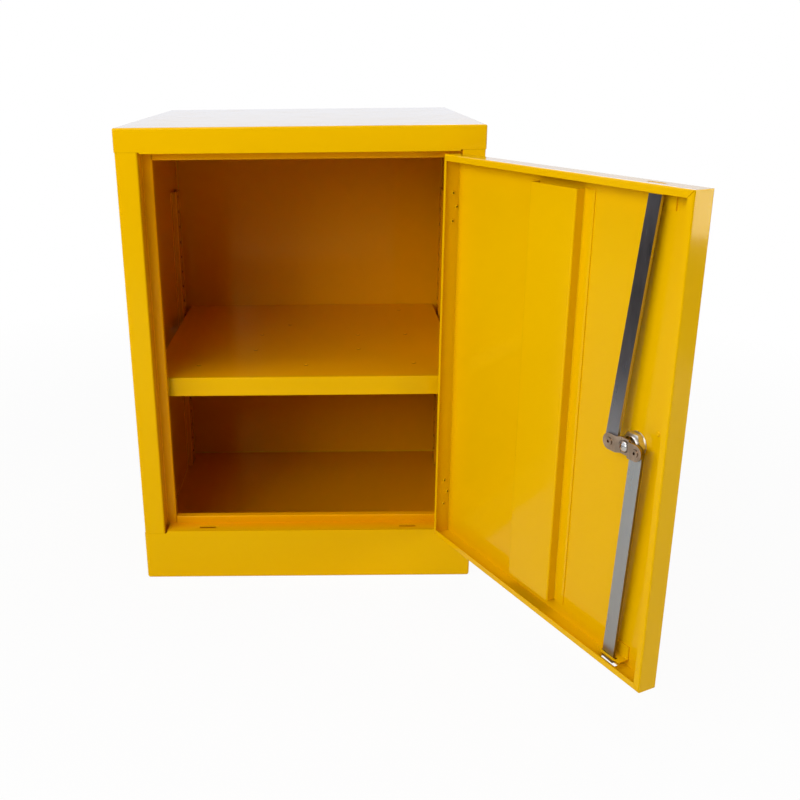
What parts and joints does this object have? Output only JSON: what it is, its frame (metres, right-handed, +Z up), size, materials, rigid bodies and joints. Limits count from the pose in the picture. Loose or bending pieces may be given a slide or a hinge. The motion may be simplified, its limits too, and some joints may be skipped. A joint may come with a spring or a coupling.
{
  "type": "flammable safety cabinet",
  "caption": "Small floor-standing folded-steel safety cabinet with a spill sump base, a shelf on clips and a right-hung door with a two-rod cam lock.",
  "frame": {"origin": "middle of the base's underside, on the floor", "axes": "+Z up, +Y to the cabinet's back, +X to the cabinet's right seen from the front"},
  "size_m": [0.5927, 0.8141, 0.61],
  "materials": {
    "carcass_paint": "glossy powder coat",
    "shelf_paint": "glossy powder coat",
    "door_paint": "glossy powder coat",
    "hinge_paint": "glossy powder coat",
    "clip_zinc": "zinc plated",
    "hinge_steel": "zinc plated",
    "rivet_steel": "dull",
    "rod_steel": "cold-rolled, zinc plated",
    "cam_steel": "nickel plated",
    "lock_chrome": "polished",
    "plug_brass": "satin"
  },
  "bodies": {
    "cabinet": {"back_panel": "carcass_paint", "base_tray": "carcass_paint", "hinge_frame_leaf_lower": "hinge_paint", "hinge_frame_leaf_upper": "hinge_paint", "hinge_pin_lower": "hinge_steel", "hinge_pin_upper": "hinge_steel", "hinge_rivets_frame": "rivet_steel", "shelf": "shelf_paint", "shelf_clips": "clip_zinc", "shelf_stiffener_front": "shelf_paint", "shelf_stiffener_rear": "shelf_paint", "side_left": "carcass_paint", "side_right": "carcass_paint", "top_cover": "carcass_paint", "upright_front_left": "carcass_paint", "upright_front_right": "carcass_paint", "upright_rear_left": "carcass_paint", "upright_rear_right": "carcass_paint"},
    "door": {"door_pan": "door_paint", "door_stiffener": "door_paint", "hinge_door_leaf_lower": "hinge_paint", "hinge_door_leaf_upper": "hinge_paint", "hinge_rivets_door": "rivet_steel", "lock_housing": "lock_chrome", "lock_nut": "lock_chrome", "lock_washer": "lock_chrome", "rod_guide_lower": "door_paint", "rod_guide_upper": "door_paint"},
    "lock": {"cam_plate": "cam_steel", "cam_screw": "lock_chrome", "lock_spindle": "lock_chrome", "pivot_rivets": "cam_steel", "turn_knob": "lock_chrome"},
    "key_plug": {"key_plug": "plug_brass"},
    "upper_rod": {"upper_rod": "rod_steel"},
    "lower_rod": {"lower_rod": "rod_steel"}
  },
  "joints": [
    {"name": "door_swing", "type": "hinge", "parent": "cabinet", "child": "door", "pos_m": [0.1955, -0.2282, 0.325], "axis": [0, 0, 1], "range_deg": [-116.27, 58.73]},
    {"name": "lock_turn", "type": "hinge", "parent": "door", "child": "lock", "pos_m": [0.33061, -0.53175, 0.322], "axis": [0.8967, 0.4426, 0], "range_deg": [0, 90]},
    {"name": "key_turn", "type": "hinge", "parent": "lock", "child": "key_plug", "pos_m": [0.35302, -0.52069, 0.322], "axis": [0.8967, 0.4426, 0], "range_deg": [0, 90]},
    {"name": "upper_rod_pivot", "type": "hinge", "parent": "lock", "child": "upper_rod", "pos_m": [0.31583, -0.51898, 0.322], "axis": [0.8967, 0.4426, 0], "range_deg": [-96, 1]},
    {"name": "lower_rod_pivot", "type": "hinge", "parent": "lock", "child": "lower_rod", "pos_m": [0.33176, -0.55126, 0.322], "axis": [0.8967, 0.4426, 0], "range_deg": [-96, 1]}
  ],
  "couplings": [
    {"joint": "upper_rod_pivot", "follows": "lock_turn", "ratio": -1.0444},
    {"joint": "lower_rod_pivot", "follows": "lock_turn", "ratio": -1.0465}
  ]
}
